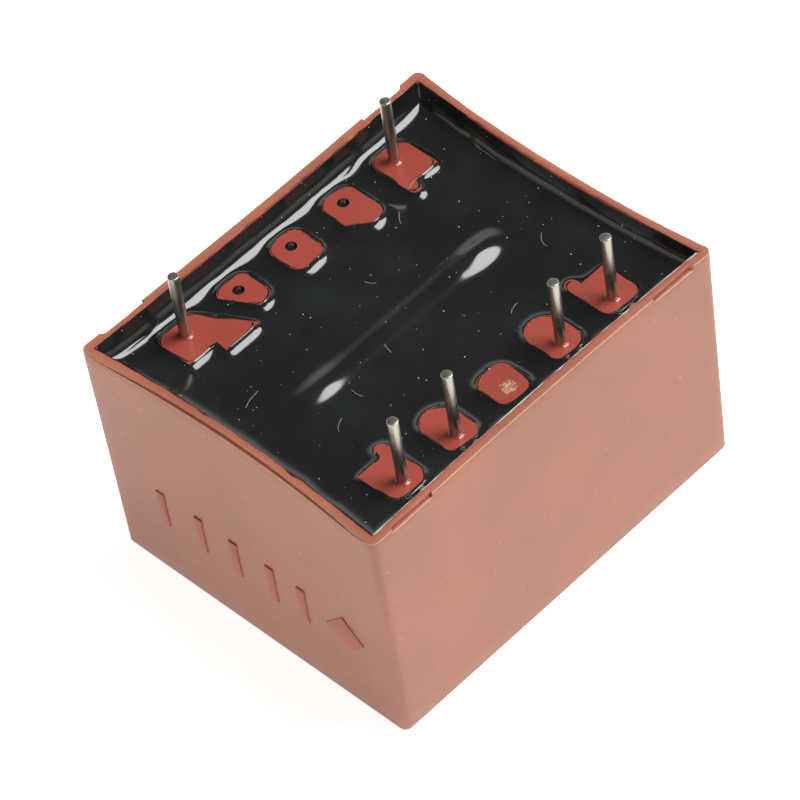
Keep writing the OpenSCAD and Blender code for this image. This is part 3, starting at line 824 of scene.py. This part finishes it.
class TRAFO_OT_resin(bpy.types.Operator):
    """Casts the resin: a free surface that climbs the walls and the bosses"""

    bl_idname = "trafo.resin"
    bl_label = "Resin"

    def execute(self, context):
        resin, case = settings_of("trafo_resin"), settings_of("trafo_case")
        surface = ResinSurface(resin, case)
        surface.solve()
        deselect()
        bpy.ops.mesh.primitive_grid_add(
            x_subdivisions=surface.NX - 1, y_subdivisions=surface.NY - 1, size=2
        )
        obj = named("cast_resin")
        for v in obj.data.vertices:
            i = round((v.co.x + 1) / 2 * (surface.NX - 1))
            j = round((v.co.y + 1) / 2 * (surface.NY - 1))
            v.co = Vector((surface.x[j, i], surface.y[j, i], surface.h[j, i])) * MM
        bpy.ops.object.mode_set(mode="EDIT")
        bpy.ops.mesh.select_mode(type="EDGE")
        bpy.ops.mesh.select_all(action="DESELECT")
        bpy.ops.mesh.select_non_manifold()
        for depth in (surface.level - 1.0, FLOOR_T + 0.05):
            bpy.ops.mesh.extrude_edges_move()
            bm = bmesh.from_edit_mesh(obj.data)
            for v in bm.verts:
                if v.select:
                    v.co.z = depth * MM
            bmesh.update_edit_mesh(obj.data)
        bpy.ops.mesh.edge_face_add()
        bpy.ops.mesh.select_all(action="SELECT")
        bpy.ops.mesh.normals_make_consistent(inside=False)
        bpy.ops.object.mode_set(mode="OBJECT")
        join(obj, [hole_fill(x, y) for x, y in OPEN_HOLES])
        bpy.ops.object.shade_smooth_by_angle(angle=math.radians(60))
        material = cast_resin("casting resin, black", resin.resin, resin.dust)
        finish_piece(obj, material, "potting_resin", "potting_compound")
        self.bubble(surface, material)
        self.tail_tips(surface)
        self.gate_mark()
        self.lint(surface, resin.dust)
        return {"FINISHED"}

    def bubble(self, surface, material):
        """A small bubble that froze in the surface, beside the ridge."""
        x, y = 3.0, -3.0
        profile = [(0.0, 0.11), (0.07, 0.10), (0.13, 0.06), (0.17, 0.0), (0.24, -0.02),
                   (0.24, -0.2), (0.0, -0.2)]
        z = surface.height(x, y)
        obj = lathe("bubble", [(r, z + up) for r, up in profile], x, y, 28)
        finish_piece(obj, material, "potting_resin")

    def tail_tips(self, surface):
        """Ends of the pins' tails, which just break the surface beside the near wall."""
        along, outward = 0.25, 1.62
        tips = []
        for name in PIN_NAMES:
            x, y, side, radius = PIN_PLACES[name]
            if side > 0:
                continue
            place = x + along, y - outward
            z = surface.height(*place)
            profile = [(0.0, 0.15), (0.14, 0.13), (0.24, 0.06), (0.3, -0.06), (0.3, -0.3),
                       (0.0, -0.3)]
            tips.append(lathe("tail_tips", [(r, z + up) for r, up in profile], *place, 20))
        obj = join(tips[0], tips[1:])
        finish_piece(obj, plain_metal("tin on the tails", linear("#A9A79C"), 0.35, 0.3, 0.02),
                     "tinned_wire")

    def gate_mark(self):
        """Rough mark of the moulding gate on the closed boss."""
        profile = [(0.0, 0.0), (0.1, -0.03), (0.2, 0.01), (0.3, 0.035), (0.4, 0.02),
                   (0.5, 0.012), (0.6, -0.01), (0.6, -0.1), (0.0, -0.1)]
        obj = lathe("gate_mark", [(r, BOSS_TOP + z) for r, z in profile], *CLOSED_BOSS, 36)
        torn, uneven = 0.035 * MM, 0.09 * MM
        for v in obj.data.vertices:
            x, y = v.co.x / MM, v.co.y / MM
            v.co.z += torn * wave(x, y, 0.12, 11.0)
            v.co.x += uneven * wave(x, y, 0.3, 12.0)
            v.co.y += uneven * wave(x, y, 0.3, 13.0)
        material, tree, shader, place = blank("broken glass-filled polyester")
        grit = grain(tree, place, 0.12, 2.0, 0.6)
        shade = ramp(tree, grit, [(0.42, tuple(settings_of("trafo_case").plastic)),
                                  (0.6, linear("#C9AE8A"))]).outputs[0]
        tree.links.new(shade, shader.inputs["Base Color"])
        shader.inputs["Roughness"].default_value = 0.5
        tree.links.new(bump(tree, grit, 0.03), shader.inputs["Normal"])
        finish_piece(obj, material, "bobbin_plastic")

    def lint(self, surface, dust):
        """A few fibres of lint that lie on the resin: place, length, direction and curl."""
        fibres = []
        for x, y, length_mm, turn, curl in (
            (8.6, 7.3, 1.5, 10, 0.3), (6.3, 5.9, 1.1, 50, 0.2), (-2.4, -1.6, 0.9, 75, 0.1),
            (-9.4, -3.6, 1.2, 35, 0.4), (-11.8, 2.6, 1.6, 15, 0.2), (1.5, 3.6, 0.8, 120, 0.3),
            (-6.2, -2.7, 1.0, 95, 0.3), (5.1, -5.4, 0.9, 20, 0.4), (10.9, -3.2, 1.3, 60, 0.5),
        ):
            deselect()
            bpy.ops.curve.primitive_bezier_curve_add(radius=1)
            fibre = named("lint")
            fibre.data.resolution_u = 5
            fibre.data.bevel_depth = 0.018 * MM
            fibre.data.bevel_resolution = 0
            fibre.data.use_fill_caps = True
            way = Vector((math.cos(math.radians(turn)), math.sin(math.radians(turn)), 0))
            aside = Vector((-way.y, way.x, 0)) * curl * length_mm / 4
            z = max(surface.height(x + way.x * k, y + way.y * k)
                    for k in (0, length_mm / 2, length_mm)) + 0.02
            start = Vector((x, y, z))
            for point, at in zip(fibre.data.splines[0].bezier_points, (0, length_mm)):
                point.handle_left_type = point.handle_right_type = "FREE"
                centre = start + way * at
                point.co = centre * MM
                point.handle_left = (centre - way * length_mm / 3 + aside) * MM
                point.handle_right = (centre + way * length_mm / 3 + aside * 2) * MM
            choose(fibre)
            bpy.ops.object.convert(target="MESH")
            fibres.append(bpy.context.object)
        obj = join(fibres[0], fibres[1:])
        material, tree, shader, place = blank("lint")
        tree.links.new(mixed(tree, grain(tree, place, 0.4), tone(dust, 0.7), tone(dust, 1.1)),
                       shader.inputs["Base Color"])
        shader.inputs["Roughness"].default_value = 0.8
        finish_piece(obj, material, "potting_resin")


# ------------------------------------------------------------------------- pins


class TRAFO_OT_pins(bpy.types.Operator):
    """Copies each pin, rounds its cut ends, and adds the resin collar at its root"""

    bl_idname = "trafo.pins"
    bl_label = "Pins"

    def execute(self, context):
        s = settings_of("trafo_pins")
        wire = tinned_wire("tinned wire", s.tin)
        film = wet_polyester("polyester under a resin film", settings_of("trafo_case").plastic)
        for name in PIN_NAMES:
            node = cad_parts[name]
            pin = bpy.data.objects.new(name + "_wire", node.data.copy())
            context.scene.collection.objects.link(pin)
            choose(pin)
            bpy.ops.object.mode_set(mode="EDIT")
            bpy.ops.mesh.select_all(action="SELECT")
            bpy.ops.mesh.remove_doubles(threshold=0.0005 * MM)
            bpy.ops.mesh.dissolve_limited(angle_limit=math.radians(1))
            bpy.ops.object.mode_set(mode="OBJECT")
            bevel = pin.modifiers.new("cut ends", "BEVEL")
            bevel.width, bevel.segments = 0.07 * MM, 3
            bevel.limit_method, bevel.angle_limit = "ANGLE", math.radians(60)
            apply_all(pin)
            bpy.ops.object.shade_smooth_by_angle(angle=math.radians(40))
            finish_piece(pin, wire, "tinned_wire", name)
            x, y, _, radius = PIN_PLACES[name]
            root, edge = radius - 0.05, radius + s.collar
            profile = [(root, -0.2), (root, 0.12), (radius + 0.02, 0.11), (radius + 0.06, 0.06),
                       (radius + s.collar * 0.6, 0.02), (edge, -0.01), (edge, -0.2),
                       (root, -0.2)]
            collar = lathe(name + "_collar", [(r, BOSS_TOP + z) for r, z in profile], x, y, 40)
            finish_piece(collar, film, "bobbin_plastic")
        return {"FINISHED"}


# ------------------------------------------------------------- parts in the resin


class TRAFO_OT_inside(bpy.types.Operator):
    """Gives the sealed core, windings, tapes and solder joints their materials"""

    bl_idname = "trafo.inside"
    bl_label = "Inside"

    def execute(self, context):
        steel = plain_metal("varnished core plate", linear("#7D8084"), 0.45, 1.0, 0.01)
        solder = plain_metal("solder", linear("#C9CBC6"), 0.3, 0.4, 0.02)
        copper = wound_wire("enamelled copper wire", linear("#B8692E"))
        tape = polyester_tape("polyester film tape", linear("#D9B44A"))
        for name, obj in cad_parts.items():
            for start, material in (("core", steel), ("solder", solder), ("primary_w", copper),
                                    ("secondary_w", copper), ("primary_t", tape),
                                    ("secondary_t", tape)):
                if name.startswith(start):
                    obj.data.materials.clear()
                    obj.data.materials.append(material)
        return {"FINISHED"}


# ------------------------------------------------------------------------ stage


class TRAFO_OT_stage(bpy.types.Operator):
    """Sets up the floor, the lamps, the world and the camera"""

    bl_idname = "trafo.stage"
    bl_label = "Stage"

    def execute(self, context):
        self.floor()
        self.lamps()
        self.world()
        self.camera()
        context.scene.view_settings.view_transform = "Standard"
        return {"FINISHED"}

    def floor(self):
        """White paper that glows a little where it is seen, so that it stays white."""
        deselect()
        bpy.ops.mesh.primitive_plane_add(size=settings_of("trafo_studio").floor_size)
        obj = named("floor")
        material, tree, shader, _ = blank("white paper sweep")
        glow = 0.75
        shader.inputs["Base Color"].default_value = (0.93, 0.93, 0.92, 1)
        shader.inputs["Roughness"].default_value = 0.9
        ray = add(tree, "ShaderNodeLightPath").outputs
        seen = add(tree, "ShaderNodeMath", {"operation": "ADD"}, i0=ray["Is Camera Ray"],
                   i1=ray["Is Glossy Ray"])
        seen = add(tree, "ShaderNodeMath", {"operation": "ADD", "use_clamp": True},
                   i0=seen.outputs[0], i1=ray["Is Transmission Ray"])
        shader.inputs["Emission Color"].default_value = (1, 1, 1, 1)
        strength = add(tree, "ShaderNodeMath", {"operation": "MULTIPLY", 1: glow},
                       i0=seen.outputs[0])
        tree.links.new(strength.outputs[0], shader.inputs["Emission Strength"])
        obj.data.materials.append(material)

    def lamps(self):
        """Two square lamps that face the part: direction, distance and side in metres."""
        studio = settings_of("trafo_studio")
        aim = Vector((0, 0, 0.015))
        for name, way, far, size, power in (
            ("key softbox", (0.43, -0.25, 0.87), 0.5, 0.27, studio.key_power),
            ("left fill", (-0.93, -0.2, 0.3), 0.6, 0.4, studio.fill_power),
        ):
            deselect()
            bpy.ops.object.light_add(type="AREA", location=aim + Vector(way).normalized() * far)
            lamp = bpy.context.object
            lamp.name = name
            lamp.data.shape = "SQUARE"
            lamp.data.size = size
            lamp.data.energy = power
            lamp.rotation_euler = (-Vector(way)).to_track_quat("-Z", "Y").to_euler()

    def world(self):
        """A room that is bright round the horizon and dim overhead."""
        world = bpy.data.worlds.new("studio")
        bpy.context.scene.world = world
        world.use_nodes = True
        tree = world.node_tree
        tree.nodes.clear()
        out = add(tree, "ShaderNodeOutputWorld")
        way = add(tree, "ShaderNodeTexCoord").outputs["Generated"]
        up = add(tree, "ShaderNodeSeparateXYZ", Vector=way).outputs["Z"]
        room = ramp(tree, up, [(0.0, (1.0,) * 3), (0.30, (0.9,) * 3), (0.50, (0.10,) * 3),
                               (1.0, (0.10,) * 3)]).outputs[0]
        sky = add(tree, "ShaderNodeBackground", {"Strength": 1.0}, Color=room)
        tree.links.new(sky.outputs[0], out.inputs["Surface"])

    def camera(self):
        """A long lens, aimed at the part from the front left and above, and rolled."""
        place = Vector((-152.898, -189.166, 284.406)) * MM
        aim = Vector((-1.353, -0.355, 11.0)) * MM
        roll = math.radians(-9.73)
        data = bpy.data.cameras.new("camera")
        data.sensor_width = 36.0
        data.lens = 246.8
        data.clip_end = 10.0
        obj = bpy.data.objects.new("camera", data)
        bpy.context.scene.collection.objects.link(obj)
        turn = (aim - place).to_track_quat("-Z", "Y").to_matrix().to_4x4()
        obj.matrix_world = Matrix.Translation(place) @ turn @ Matrix.Rotation(roll, 4, "Z")
        bpy.context.scene.camera = obj


# ------------------------------------------------------------------------ panel


class TRAFO_PT_panel(bpy.types.Panel):
    """Lists the pieces of the transformer and the stage"""

    bl_label = "Transformer"
    bl_idname = "TRAFO_PT_panel"
    bl_space_type = "VIEW_3D"
    bl_region_type = "UI"
    bl_category = "Transformer"

    def draw(self, context):
        for name in SETTINGS:
            group = getattr(context.scene, name)
            box = self.layout.box()
            for key in group.__annotations__:
                box.prop(group, key)
        for operator in OPERATORS:
            self.layout.operator(operator.bl_idname)


SETTINGS = {
    "trafo_case": CaseSettings,
    "trafo_resin": ResinSettings,
    "trafo_pins": PinSettings,
    "trafo_studio": StudioSettings,
}
OPERATORS = (
    TRAFO_OT_case,
    TRAFO_OT_bobbin,
    TRAFO_OT_resin,
    TRAFO_OT_pins,
    TRAFO_OT_inside,
    TRAFO_OT_stage,
)
CLASSES = (*SETTINGS.values(), *OPERATORS, TRAFO_PT_panel)


def register():
    for cls in CLASSES:
        bpy.utils.register_class(cls)
    for name, cls in SETTINGS.items():
        setattr(bpy.types.Scene, name, bpy.props.PointerProperty(type=cls))


def unregister():
    for name in SETTINGS:
        delattr(bpy.types.Scene, name)
    for cls in reversed(CLASSES):
        bpy.utils.unregister_class(cls)


def main():
    register()
    for operator in OPERATORS:
        group, name = operator.bl_idname.split(".")
        getattr(getattr(bpy.ops, group), name)()


if __name__ == "__main__":
    main()
